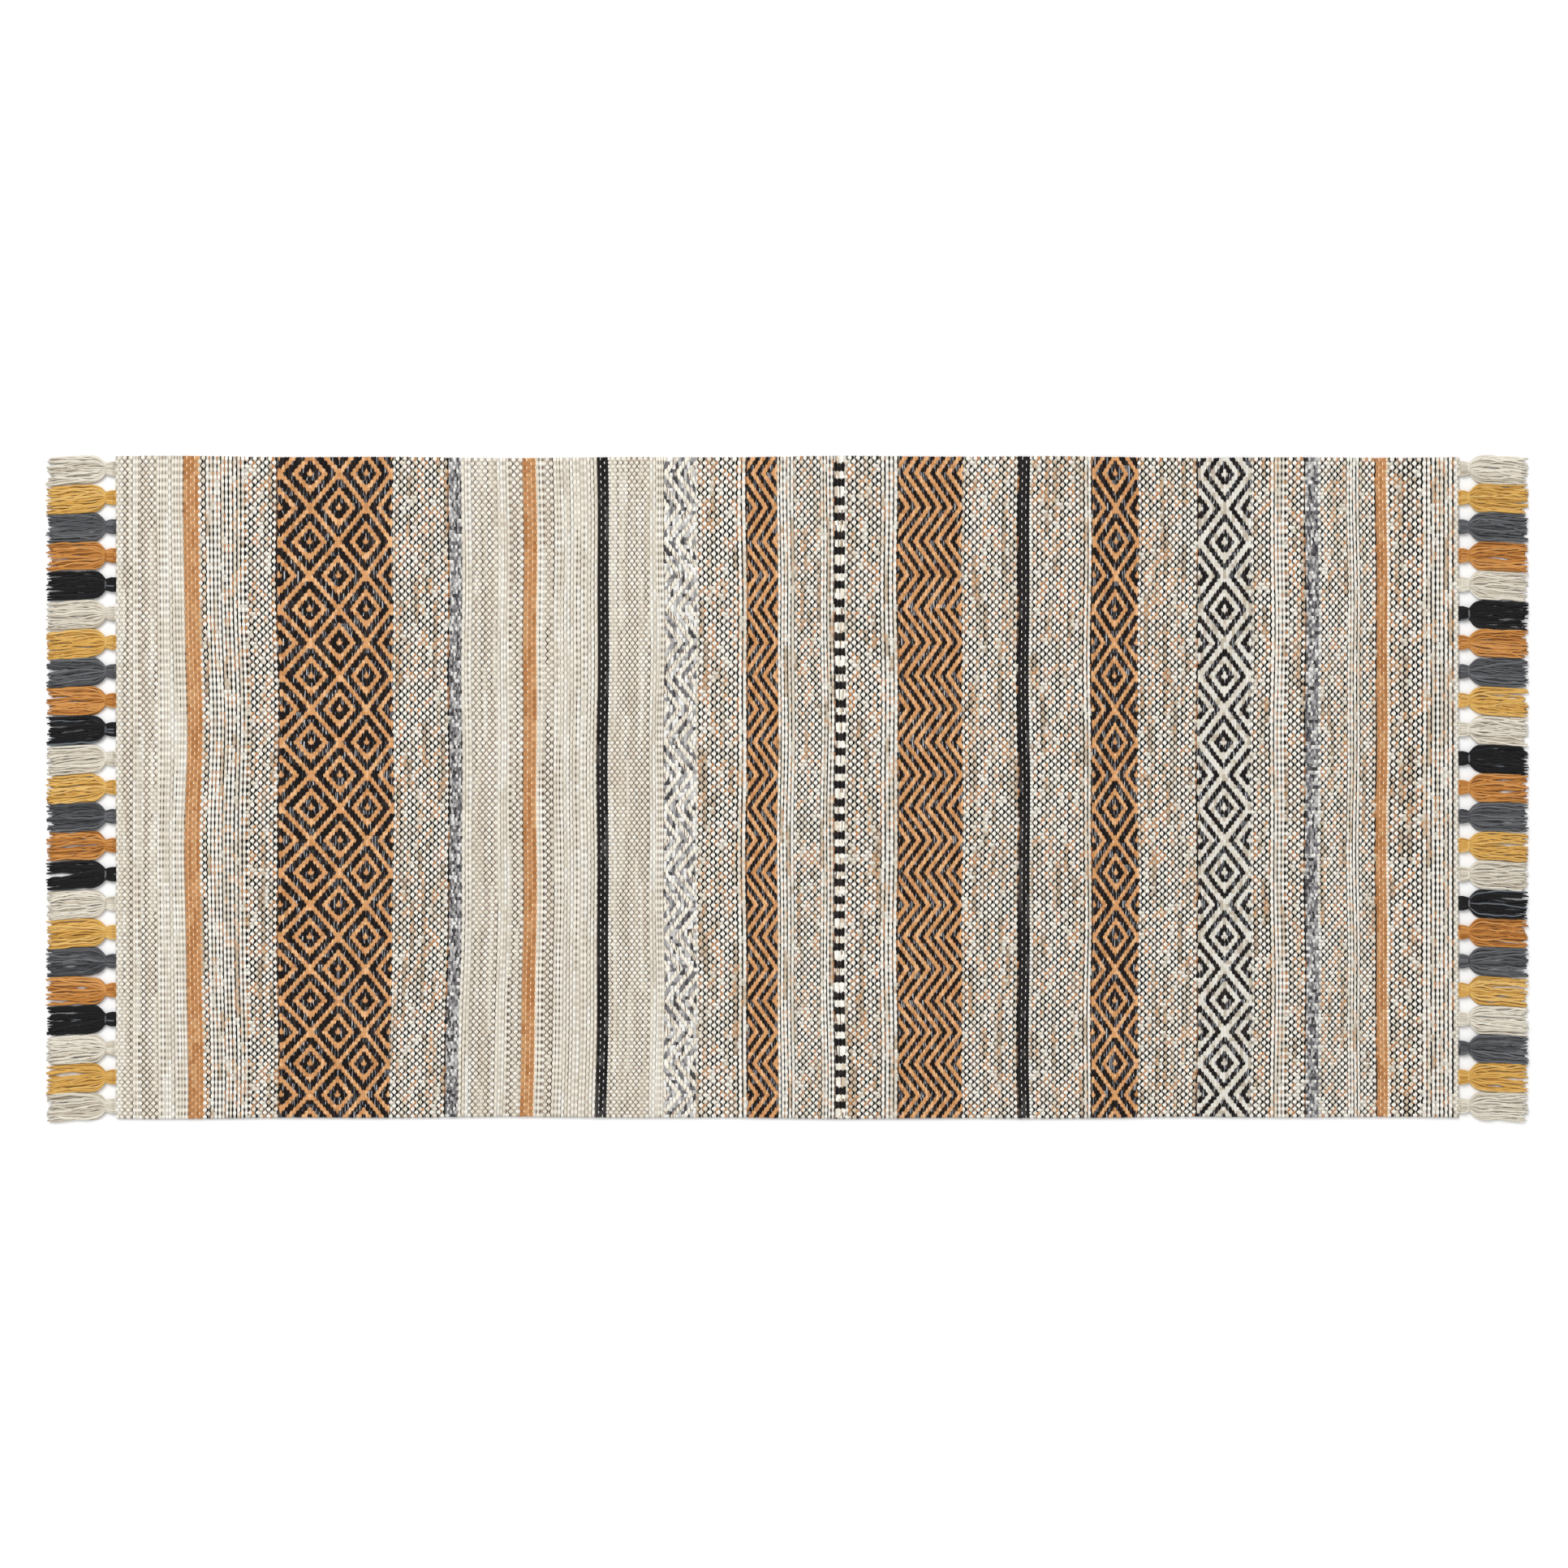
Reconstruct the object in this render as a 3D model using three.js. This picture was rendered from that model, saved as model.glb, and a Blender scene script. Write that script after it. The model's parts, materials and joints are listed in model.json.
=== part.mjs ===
// A flat-woven cotton runner rug with a row of tassels at each end, lying flat.
// Millimetres. +X runs along the rug, +Y across it, +Z up. The origin is under the middle, on the floor.
import * as THREE from 'three';

// Driving dimensions
const WOVEN_LENGTH = 1220;
const WOVEN_WIDTH = 600;
const CLOTH_THICKNESS = 4.5;
const SEAM_GAP = 0.3;
const SELVEDGE_RADIUS = 2.0;
const HEADING_WIDTH = 5;
const HEADING_INSET = 2;
const TASSELS_PER_END = 23;
const TASSEL_PITCH = 26.3;
const TASSEL_LENGTH = 60;
const TASSEL_HALF_HEIGHT = 2.8;
const KNOT_RADIUS = 2.7;
const KNOT_CLEARANCE = 0.6;
const RING_SIDES = 8;

// Where each woven section ends, from the left heading to the right one. The rug folds in two at FOLD_LINE.
const FOLD_LINE = -8.5;
const SECTIONS = [
  { name: 'field_cream_end', end: -546, yarn: 'cream' },
  { name: 'field_melange_1', end: -462, yarn: 'melange' },
  { name: 'field_diamonds_wide', end: -358.5, yarn: 'mustard_black' },
  { name: 'field_melange_2', end: -296, yarn: 'melange' },
  { name: 'field_cream_striped', end: -112, yarn: 'cream' },
  { name: 'field_waves_zigzag', end: FOLD_LINE, yarn: 'melange' },
  { name: 'field_beads', end: 101, yarn: 'melange' },
  { name: 'field_zigzag_wide', end: 159, yarn: 'mustard_black' },
  { name: 'field_melange_3', end: 276.6, yarn: 'melange' },
  { name: 'field_diamonds_mustard', end: 318.6, yarn: 'mustard_black' },
  { name: 'field_diamonds_cream', end: 421, yarn: 'cream_black' },
  { name: 'field_melange_end', end: WOVEN_LENGTH / 2 - HEADING_WIDTH, yarn: 'melange' },
];

// Tassel colours from the +Y edge to the -Y edge.
const LEFT_TASSELS = [
  'cream', 'yellow', 'grey', 'orange', 'black', 'cream', 'yellow', 'grey', 'orange', 'black', 'cream', 'yellow',
  'grey', 'orange', 'black', 'cream', 'yellow', 'grey', 'orange', 'black', 'cream', 'yellow', 'cream',
];
const RIGHT_TASSELS = [
  'cream', 'yellow', 'grey', 'orange', 'cream', 'black', 'orange', 'grey', 'yellow', 'cream', 'black', 'orange',
  'grey', 'yellow', 'cream', 'black', 'orange', 'grey', 'yellow', 'cream', 'grey', 'yellow', 'cream',
];

const COLOURS = {
  cream: 0xdbd2c1,
  melange: 0xaa9a88,
  mustard_black: 0x7a5e46,
  cream_black: 0x827a73,
  yellow: 0xd6a654,
  orange: 0xc1823e,
  grey: 0x58595c,
  black: 0x1c1b1e,
};

function yarnMaterial(yarn) {
  return new THREE.MeshStandardMaterial({ color: COLOURS[yarn], roughness: 0.92, metalness: 0 });
}

function namedMesh(name, geometry, yarn) {
  const mesh = new THREE.Mesh(geometry, yarnMaterial(yarn));
  mesh.name = name;
  return mesh;
}

// A flat bar's outline: `width` across, standing on the line v = 0, with all four corners rounded.
function barOutline(width, height, radius) {
  const half = width / 2;
  const shape = new THREE.Shape();
  shape.moveTo(-half + radius, 0);
  shape.lineTo(half - radius, 0);
  shape.absarc(half - radius, radius, radius, -Math.PI / 2, 0, false);
  shape.lineTo(half, height - radius);
  shape.absarc(half - radius, height - radius, radius, 0, Math.PI / 2, false);
  shape.lineTo(-half + radius, height);
  shape.absarc(-half + radius, height - radius, radius, Math.PI / 2, Math.PI, false);
  shape.lineTo(-half, radius);
  shape.absarc(-half + radius, radius, radius, Math.PI, 1.5 * Math.PI, false);
  return shape;
}

function extrude(shape, depth) {
  return new THREE.ExtrudeGeometry(shape, { depth, bevelEnabled: false, curveSegments: 3 });
}

// One stretch of the cloth, the full width of the rug, from x = start to x = end.
function clothSection(start, end) {
  const outline = barOutline(WOVEN_WIDTH, CLOTH_THICKNESS, SELVEDGE_RADIUS);
  const geometry = extrude(outline, end - start - SEAM_GAP);
  const alongX = new THREE.Matrix4().makeBasis(
    new THREE.Vector3(0, 1, 0),
    new THREE.Vector3(0, 0, 1),
    new THREE.Vector3(1, 0, 0),
  );
  geometry.applyMatrix4(alongX);
  geometry.translate(start + SEAM_GAP / 2, 0, 0);
  return geometry;
}

// The bound edge across one end of the cloth. side is -1 for the left end and +1 for the right.
function heading(side) {
  const length = WOVEN_WIDTH - 2 * HEADING_INSET;
  const outline = barOutline(HEADING_WIDTH - SEAM_GAP / 2, CLOTH_THICKNESS, SELVEDGE_RADIUS);
  const geometry = extrude(outline, length);
  const acrossY = new THREE.Matrix4().makeBasis(
    new THREE.Vector3(1, 0, 0),
    new THREE.Vector3(0, 0, 1),
    new THREE.Vector3(0, -1, 0),
  );
  geometry.applyMatrix4(acrossY);
  geometry.translate(side * (WOVEN_LENGTH / 2 - HEADING_WIDTH / 2 + SEAM_GAP / 4), length / 2, 0);
  return geometry;
}

// Closed skin over rings of points that follow +X. Each ring is { x, halfWidth, halfHeight }, and the first and
// last rings are closed by a fan.
function ringLoft(rings) {
  const positions = [];
  const triangles = [];
  for (const ring of rings) {
    for (let side = 0; side < RING_SIDES; side += 1) {
      const angle = (2 * Math.PI * side) / RING_SIDES;
      positions.push(ring.x, ring.halfWidth * Math.cos(angle), ring.halfHeight * Math.sin(angle));
    }
  }
  for (let ring = 0; ring < rings.length - 1; ring += 1) {
    for (let side = 0; side < RING_SIDES; side += 1) {
      const next = (side + 1) % RING_SIDES;
      const a = ring * RING_SIDES + side;
      const b = ring * RING_SIDES + next;
      const c = a + RING_SIDES;
      const d = b + RING_SIDES;
      triangles.push(a, b, d, a, d, c);
    }
  }
  const last = (rings.length - 1) * RING_SIDES;
  for (let side = 1; side < RING_SIDES - 1; side += 1) {
    triangles.push(0, side + 1, side);
    triangles.push(last, last + side, last + side + 1);
  }
  const geometry = new THREE.BufferGeometry();
  geometry.setAttribute('position', new THREE.Float32BufferAttribute(positions, 3));
  geometry.setIndex(triangles);
  geometry.computeVertexNormals();
  return geometry;
}

// A tassel that points along +X, with the middle of its knot, where it swings, at the origin: the looped head,
// the bound neck, and the skirt, which opens at round shoulders and keeps its width to the cut tips.
function tassel() {
  const headAcross = 5.8;
  const skirtAcross = 12.6;
  const ringOnHead = (angle) => ({
    x: -KNOT_RADIUS * Math.cos(angle),
    halfWidth: headAcross * Math.sin(angle),
    halfHeight: KNOT_RADIUS * Math.sin(angle),
  });
  const h = TASSEL_HALF_HEIGHT;
  const rings = [
    ringOnHead(Math.PI / 8),
    ringOnHead(Math.PI / 2),
    { x: 2.2, halfWidth: 5.3, halfHeight: 2.0 },
    { x: 5.8, halfWidth: 4.7, halfHeight: 1.9 },
    { x: 7.5, halfWidth: 5.6, halfHeight: 2.4 },
    { x: 12.0, halfWidth: 10.4, halfHeight: h },
    { x: 18.0, halfWidth: 12.4, halfHeight: h },
    { x: TASSEL_LENGTH - 6, halfWidth: skirtAcross, halfHeight: 0.9 * h },
    { x: TASSEL_LENGTH, halfWidth: 0.94 * skirtAcross, halfHeight: 0.6 * h },
  ];
  return ringLoft(rings);
}

// The tassel's place: `row` counts from the +Y edge, side is -1 for the left end and +1 for the right.
function placedTassel(side, row) {
  const geometry = tassel();
  if (side < 0) {
    geometry.rotateZ(Math.PI);
  }
  const x = side * (WOVEN_LENGTH / 2 + KNOT_CLEARANCE + KNOT_RADIUS);
  const y = ((TASSELS_PER_END - 1) / 2 - row) * TASSEL_PITCH;
  geometry.translate(x, y, TASSEL_HALF_HEIGHT);
  return geometry;
}

function addTassels(rug, endName, side, colours) {
  colours.forEach((yarn, row) => {
    const number = String(row + 1).padStart(2, '0');
    rug.add(namedMesh(`tassel_${endName}_${number}`, placedTassel(side, row), yarn));
  });
}

function addCloth(rug) {
  let start = -WOVEN_LENGTH / 2 + HEADING_WIDTH;
  for (const section of SECTIONS) {
    rug.add(namedMesh(section.name, clothSection(start, section.end), section.yarn));
    start = section.end;
  }
}

const rug = new THREE.Group();
addCloth(rug);
rug.add(namedMesh('heading_left', heading(-1), 'cream'));
rug.add(namedMesh('heading_right', heading(1), 'cream'));
addTassels(rug, 'left', -1, LEFT_TASSELS);
addTassels(rug, 'right', 1, RIGHT_TASSELS);

export default rug;
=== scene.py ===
"""A flat-woven cotton runner with a row of tassels at each end, built pick by pick and strand by strand.

X runs along the rug and Y across it. The warps run along X. The picks, the weft yarns, run along Y.
Lengths are in metres, and MM turns millimetres into metres.
"""

import json
import math
from dataclasses import dataclass

import bpy
import numpy as np
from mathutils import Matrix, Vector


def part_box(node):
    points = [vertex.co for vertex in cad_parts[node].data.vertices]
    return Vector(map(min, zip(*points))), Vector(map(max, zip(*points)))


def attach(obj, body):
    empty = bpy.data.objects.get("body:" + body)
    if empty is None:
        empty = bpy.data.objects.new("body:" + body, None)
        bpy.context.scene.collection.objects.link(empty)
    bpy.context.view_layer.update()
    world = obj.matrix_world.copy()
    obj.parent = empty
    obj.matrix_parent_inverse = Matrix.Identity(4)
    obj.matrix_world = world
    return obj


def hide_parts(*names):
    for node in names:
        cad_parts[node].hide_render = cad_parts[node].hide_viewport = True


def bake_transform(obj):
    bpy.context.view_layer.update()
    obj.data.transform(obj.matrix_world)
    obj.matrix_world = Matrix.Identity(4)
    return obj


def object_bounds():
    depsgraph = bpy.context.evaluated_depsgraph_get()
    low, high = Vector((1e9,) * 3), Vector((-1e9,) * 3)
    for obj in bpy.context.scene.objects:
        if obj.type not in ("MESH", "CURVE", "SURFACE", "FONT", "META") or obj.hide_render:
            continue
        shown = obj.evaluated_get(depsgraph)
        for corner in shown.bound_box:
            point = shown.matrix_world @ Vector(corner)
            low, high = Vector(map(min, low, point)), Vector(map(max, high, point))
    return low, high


MM = 0.001
X, Y, Z = 0, 1, 2

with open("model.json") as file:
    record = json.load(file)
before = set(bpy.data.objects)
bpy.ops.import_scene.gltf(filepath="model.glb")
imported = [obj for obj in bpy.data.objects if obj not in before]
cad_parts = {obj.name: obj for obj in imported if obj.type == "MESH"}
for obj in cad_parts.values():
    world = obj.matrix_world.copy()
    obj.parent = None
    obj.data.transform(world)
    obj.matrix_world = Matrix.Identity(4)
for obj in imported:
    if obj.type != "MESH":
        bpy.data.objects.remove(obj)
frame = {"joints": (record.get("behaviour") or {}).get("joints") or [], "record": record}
packed_low, packed_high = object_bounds()
rng = np.random.default_rng(7)

# ---------------------------------------------------------------------------------------------------------
# Sizes, from the frame
# ---------------------------------------------------------------------------------------------------------

SECTIONS = [
    "heading_left",
    "field_cream_end",
    "field_melange_1",
    "field_diamonds_wide",
    "field_melange_2",
    "field_cream_striped",
    "field_waves_zigzag",
    "field_beads",
    "field_zigzag_wide",
    "field_melange_3",
    "field_diamonds_mustard",
    "field_diamonds_cream",
    "field_melange_end",
    "heading_right",
]
BODIES = frame["record"]["behaviour"]["bodies"]
BODY_OF_NODE = {node: body for body, nodes in BODIES.items() for node in nodes}
SLOT_OF_NODE = {part["node"]: part["material_slot"] for part in frame["record"]["subparts"]}
JOINTS = {joint["name"]: joint for joint in frame["joints"]}

cloth_low, cloth_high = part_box("field_cream_end")
CLOTH_WIDTH = cloth_high[Y] - cloth_low[Y]
CLOTH_TOP = cloth_high[Z]

WARPS = 182
ROWS_PER_WARP = 3
ROWS = WARPS * ROWS_PER_WARP
WARP_CROWDING = 0.025

# Heights in the cloth, as shares of its thickness.
CREST_OVER = 1.02 * CLOTH_TOP
CREST_UNDER = 0.79 * CLOTH_TOP
VALLEY = 0.75 * CLOTH_TOP
CREST_BELOW = 0.015 * CLOTH_TOP
CREST_ABOVE_FLOOR = 0.22 * CLOTH_TOP
VALLEY_BELOW = 0.235 * CLOTH_TOP
EDGE_HEIGHT = 0.5 * CLOTH_TOP
EDGE_TOP = 1.08 * EDGE_HEIGHT
EDGE_BOTTOM = 0.92 * EDGE_HEIGHT

# How far a crest stands up from its edges, as a share of the pick's width.
ROUNDNESS = 0.38

# Painted shade: how much darker a yarn is painted at the bottom of a dip, where less light reaches it, and
# how light the gap beside a dashed rib is painted next to the rib itself, for the shade in that gap.
DIP_SHADE = 0.33
GAP_SHADE = 0.8

# Warps are counted from the -Y edge, where they lie a little closer together than at the +Y edge.
row_warp = (np.arange(ROWS) + 0.5) / ROWS_PER_WARP
even_y = 2 * row_warp / WARPS - 1
row_y = CLOTH_WIDTH / 2 * (even_y - WARP_CROWDING * (1 - even_y**2))
face_warp = np.arange(1, ROWS) // ROWS_PER_WARP

# ---------------------------------------------------------------------------------------------------------
# Yarn colours, in sRGB from 0 to 255, with each colour's share
# ---------------------------------------------------------------------------------------------------------

CREAM = [(5, (247, 240, 225)), (3, (238, 229, 212)), (2, (252, 248, 238))]
CREAM_FLECK = [(4, (98, 75, 58)), (4, (146, 122, 102)), (3, (190, 174, 154)), (2, (226, 216, 199))]
WHITE = [(8, (253, 249, 239)), (3, (238, 229, 212)), (1, (216, 198, 174))]
SPECKLE = [
    (6, (24, 19, 17)),
    (3, (70, 54, 44)),
    (2, (126, 98, 76)),
    (3, (192, 132, 80)),
    (1, (216, 206, 190)),
]
MUSTARD = [(5, (216, 158, 105)), (2, (234, 182, 132)), (1, (198, 140, 88))]
MUSTARD_STRIPE = [(5, (204, 147, 97)), (2, (214, 162, 112)), (2, (190, 131, 80))]
MUSTARD_DOT = [(5, (252, 230, 198)), (2, (236, 192, 146))]
BLACK = [(5, (20, 15, 16)), (2, (42, 35, 34)), (1, (12, 9, 9))]
# A painted highlight: light strokes for the glints of light along the black ground yarn.
BLACK_GLINT = [(2, (92, 94, 98)), (3, (142, 144, 149)), (1, (190, 192, 196))]
BLACK_STRIPE = [(4, (34, 31, 31)), (2, (22, 19, 19)), (1, (66, 63, 62))]
BLACK_DOT = [(4, (240, 237, 232)), (3, (200, 196, 192))]
GREY = [
    (3, (160, 158, 158)),
    (3, (112, 110, 113)),
    (3, (200, 198, 196)),
    (3, (242, 240, 236)),
    (2, (66, 64, 66)),
]
RINGS_CREAM = [(3, (230, 226, 216)), (2, (218, 211, 196)), (1, (192, 180, 162))]

TASSEL_YARNS = {
    "yarn_cream": [(3, (214, 206, 190)), (2, (226, 220, 206)), (1, (192, 181, 163))],
    "yarn_yellow": [(3, (213, 167, 86)), (2, (222, 182, 108)), (1, (192, 144, 66))],
    "yarn_orange": [(3, (192, 130, 62)), (2, (205, 147, 82)), (1, (168, 107, 46))],
    "yarn_grey": [(3, (86, 87, 90)), (2, (106, 107, 110)), (1, (65, 66, 69))],
    "yarn_black": [(9, (20, 19, 21)), (3, (32, 32, 35)), (1, (100, 106, 112))],
}


def linear(srgb):
    """sRGB from 0 to 255 as linear colour from 0 to 1."""
    value = np.asarray(srgb, float) / 255
    return np.where(value <= 0.04045, value / 12.92, ((value + 0.055) / 1.055) ** 2.4)


def pick_from(palette, count):
    """count colours drawn from a palette."""
    shares = np.array([share for share, _ in palette], float)
    colours = np.array([colour for _, colour in palette], float)
    return colours[rng.choice(len(palette), count, p=shares / shares.sum())]


def spun(palette, warps_per_colour):
    """The colour of a yarn at each warp, where a colour lasts for warps_per_colour warps on average."""
    changes = rng.random(WARPS) < 1 / warps_per_colour
    changes[0] = True
    stretch = np.cumsum(changes) - 1
    return pick_from(palette, stretch[-1] + 1)[stretch]


# ---------------------------------------------------------------------------------------------------------
# Picks
# ---------------------------------------------------------------------------------------------------------


@dataclass
class Pick:
    """One weft yarn, or a narrow strip beside one that only adds colour.

    lift runs from -1 under the cloth to +1 on top of it, with a value for each row. The colours are
    (strips, faces along it, 3): two strips beside the crest of a crested pick, one on a flat one.
    swing is how much wider it is when it's on top. bend_top and bend_below move its right edge as well.
    """

    width: float
    swing: float
    lift: np.ndarray
    colour: np.ndarray
    colour_below: np.ndarray
    crested: bool = True
    bend_top: np.ndarray | float = 0.0
    bend_below: np.ndarray | float = 0.0


def plain_lift(phase):
    """Over every second warp, starting with the first if phase is 0."""
    return np.cos(np.pi * (row_warp - 0.5 - phase))


def strips(colour, crested=True):
    """One colour for each face along a pick, given to each of its strips."""
    return np.broadcast_to(colour, (2 if crested else 1, *colour.shape))


def plain_pick(width, swing, phase, palette, warps_per_colour, crested=True):
    """A pick over every second warp, which changes colour only where it goes under one."""
    pairs_per_colour = max(1, warps_per_colour / 2)
    colours = np.repeat(spun(palette, pairs_per_colour), 2, axis=0)
    colour = strips(colours[face_warp + 1 - phase], crested)
    return Pick(width, swing, plain_lift(phase), colour, colour, crested)


# The yarns of plain weave. Widths are ranges in millimetres. A swing is how much wider a yarn is when it's
# on top: a fat yarn's is a length, and a thin one's is a share of its width.
BRICK_FAT_WIDTH = (2.0, 2.4)
BRICK_FAT_SWING = 1.9 * MM
BRICK_THIN_WIDTH = (1.3, 1.7)
BRICK_THIN_SWING = 0.4
RIB_FAT_WIDTH = (2.0, 2.5)
RIB_FAT_SWING = 0.5 * MM
RIB_THIN_WIDTH = (1.2, 1.6)
RIB_THIN_SWING = 0.15
FAT_WARPS_PER_COLOUR = 8
PAIRS_IN_A_RUN = (2, 6)
RIBS_CHANGE_SIDES = 0.5


def brick_pair(phase, body, outline, thinness, warps_per_colour):
    """A fat pick with a thin one lying along it. Pairs that alternate look like rows of bricks."""
    fat_width = rng.uniform(*BRICK_FAT_WIDTH) * MM
    fat = plain_pick(fat_width, BRICK_FAT_SWING, phase, body, FAT_WARPS_PER_COLOUR)
    width = rng.uniform(*BRICK_THIN_WIDTH) * thinness * MM
    thin = plain_pick(width, BRICK_THIN_SWING * width, phase, outline, warps_per_colour, crested=False)
    return [fat, thin]


def rib_pair(phase, body, outline, thinness, warps_per_colour):
    """A fat pick that stays on top and a thinner one that comes up beside it at every second warp."""
    fat_width = rng.uniform(*RIB_FAT_WIDTH) * MM
    fat = plain_pick(fat_width, RIB_FAT_SWING, phase, body, FAT_WARPS_PER_COLOUR)
    fat.lift = (1 + fat.lift) / 2
    width = rng.uniform(*RIB_THIN_WIDTH) * thinness * MM
    thin = plain_pick(width, RIB_THIN_SWING * width, 1 - phase, outline, warps_per_colour)
    return [fat, thin]


def dashed_rib_pair(phase, body, outline, thinness, warps_per_colour):
    """A rib whose thin pick looks dashed: under a warp it has the fat one's colour and painted shade."""
    fat, thin = rib_pair(phase, body, outline, thinness, warps_per_colour)
    painted_gap = thin.lift[1:] + thin.lift[:-1] < 0
    # Under a warp the thin pick is painted the fat one's colour, with GAP_SHADE as painted shade.
    thin.colour = np.where(painted_gap[:, None], GAP_SHADE * fat.colour, thin.colour)
    return [fat, thin]


def speckled(width, body, outline, rib, brick_share, thinness, warps_per_colour=2):
    """Plain weave in a fat and a thin yarn, in runs of bricks and runs of ribs."""
    picks = []
    phase = 0
    while sum(pick.width for pick in picks) < width:
        make_pair = brick_pair if rng.random() < brick_share else rib
        for _ in range(rng.integers(*PAIRS_IN_A_RUN)):
            picks += make_pair(phase, body, outline, thinness, warps_per_colour)
            if make_pair is brick_pair or rng.random() < RIBS_CHANGE_SIDES:
                phase = 1 - phase
    return picks


def melange(width):
    return speckled(width, WHITE, SPECKLE, rib_pair, brick_share=0.72, thinness=1.2)


def fine_melange(width):
    return speckled(width, WHITE, SPECKLE, rib_pair, brick_share=0.85, thinness=1.05)


def cream(width):
    return speckled(
        width, CREAM, CREAM_FLECK, dashed_rib_pair, brick_share=0.6, thinness=0.72, warps_per_colour=24
    )


HEADING_SWING = 0.7 * MM
HEADING_WARPS_PER_COLOUR = 3


def heading(width):
    """Two thick cream picks that bind the end of the cloth."""
    return [plain_pick(width / 2, HEADING_SWING, phase, CREAM, HEADING_WARPS_PER_COLOUR) for phase in (0, 1)]


# A solid pick dips a little at every second warp. Where its lift is under DOT_LIFT, the narrow pick beside it
# is painted as a dot.
STRIPE_PITCH = 3.45 * MM
STRIPE_SWING = 0.2 * MM
STRIPE_DIP = 0.6
STRIPE_WARPS_PER_COLOUR = 4
DOT_WIDTH = 0.8 * MM
DOT_LIFT = 0.15


def stripe(width, palette, dots):
    """Solid picks, each beside a flat narrow one that is painted with a dot at every second warp."""
    count = round(width / STRIPE_PITCH)
    picks = []
    for number in range(count):
        lift = 1 - STRIPE_DIP + STRIPE_DIP * plain_lift(number % 2)
        plain = strips(spun(palette, STRIPE_WARPS_PER_COLOUR)[face_warp])
        crossed = lift[1:] + lift[:-1] < 2 * DOT_LIFT
        dotted = np.where(crossed[:, None], pick_from(dots, ROWS - 1), plain[0])
        picks.append(Pick(width / count - DOT_WIDTH, STRIPE_SWING, lift, plain, plain))
        picks.append(Pick(DOT_WIDTH, 0, np.ones(ROWS), dotted[None], plain[:1], crested=False))
    return picks


def mustard_stripe(width):
    return stripe(width, MUSTARD_STRIPE, MUSTARD_DOT)


def black_stripe(width):
    return stripe(width, BLACK_STRIPE, BLACK_DOT)


def heathered(palette):
    """A yarn of fibres dyed in several colours, so that its two sides change colour at every warp."""
    return np.stack([spun(palette, 1)[face_warp], spun(palette, 1)[face_warp]])


GREY_PITCH = 2.9 * MM
GREY_SWING = 0.6 * MM


def grey_stripe(width):
    count = round(width / GREY_PITCH)
    picks = []
    for number in range(count):
        colour = heathered(GREY)
        picks.append(Pick(width / count, GREY_SWING, plain_lift(number % 2), colour, colour))
    return picks


# Figured bands repeat every FIGURE_WARPS warps, and their lines move one warp for each group of three picks.
FIGURE_WARPS = 18
FIGURE_CENTRE = 15.7
GROUND_WARPS_PER_COLOUR = 4
GLINT_AND_FLECK_SHARE = 0.3
GLINT_AND_FLECK_WARPS_PER_COLOUR = 2
SHOWN_WARPS_PER_COLOUR = 1.5
GROUND_SHARE = 0.48
PRESSED_BY_WARP = 0.25

# The edge of a figure moves mostly from warp to warp, in steps, and a little within each warp.
SLOPE_WITHIN_WARP = 0.35
step_warp = np.floor(row_warp) + 0.5 + SLOPE_WITHIN_WARP * (row_warp % 1 - 0.5)


def triangle_wave(position, period):
    """0 at multiples of the period and period / 2 half-way between them."""
    return np.abs((position + period / 2) % period - period / 2)


def diamond_reach(group, centre):
    """How far each row of a group is from the middle of its diamond, in groups plus warps."""
    along = triangle_wave(step_warp - FIGURE_CENTRE, FIGURE_WARPS)
    across = triangle_wave(group - centre, FIGURE_WARPS)
    reach = along + across
    return np.minimum(reach, FIGURE_WARPS - reach)


def lattice_diamonds(group, centre):
    """+ on a lattice, on one ring inside each mesh of it, and on a dot in the middle."""
    dot_radius = 1.1
    ring_radius = 4.5
    ring_half_width = 0.95
    lattice_radius = 8.05
    reach = diamond_reach(group, centre)
    dot = dot_radius - reach
    ring = ring_half_width - np.abs(reach - ring_radius)
    lattice = reach - lattice_radius
    return np.maximum(np.maximum(dot, ring), lattice)


def ringed_diamonds(group, centre):
    """+ on the dot, ring and lattice left between two dark rings."""
    inner_radius = 2.4
    inner_half_width = 1.1
    outer_radius = 6.7
    outer_half_width = 1.0
    reach = diamond_reach(group, centre)
    inner_ring = inner_half_width - np.abs(reach - inner_radius)
    outer_ring = outer_half_width - np.abs(reach - outer_radius)
    return -np.maximum(inner_ring, outer_ring)


def zigzag(group, centre):
    """+ on lines that zigzag across the rug side by side."""
    spacing = 4.0
    half_width = 1.0
    along = triangle_wave(step_warp - FIGURE_CENTRE, FIGURE_WARPS)
    return half_width - np.abs((group - centre - along) % spacing - spacing / 2)


def bead_row(group, centre):
    """+ on two blocks in every nine warps, a little longer at their sides than in the middle."""
    first_block = 1.4
    second_block = 6.3
    half_length = 0.95
    side_growth = 0.15
    place = (row_warp - FIGURE_CENTRE) % (FIGURE_WARPS / 2)
    distance = np.minimum(np.abs(place - first_block), np.abs(place - second_block))
    return half_length - distance + side_growth * np.abs(group - centre)


def shown_part(figure, number, centre):
    """Where the figure starts and ends across a group at each row, from 0 to 1. Off it the two are equal."""
    samples = 12
    offsets = (np.arange(samples) + 0.5) / samples - 0.5
    on = np.array([figure(number + offset, centre) > 0 for offset in offsets])
    start = on.argmax(axis=0) / samples
    end = 1 - on[::-1].argmax(axis=0) / samples
    rows_on = np.flatnonzero(on.any(axis=0))
    if not len(rows_on):
        return np.full(ROWS, 0.5), np.full(ROWS, 0.5)
    middle = np.interp(np.arange(ROWS), rows_on, ((start + end) / 2)[rows_on])
    half = np.where(on.any(axis=0), (end - start) / 2, 0)
    return middle - half, middle + half


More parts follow.
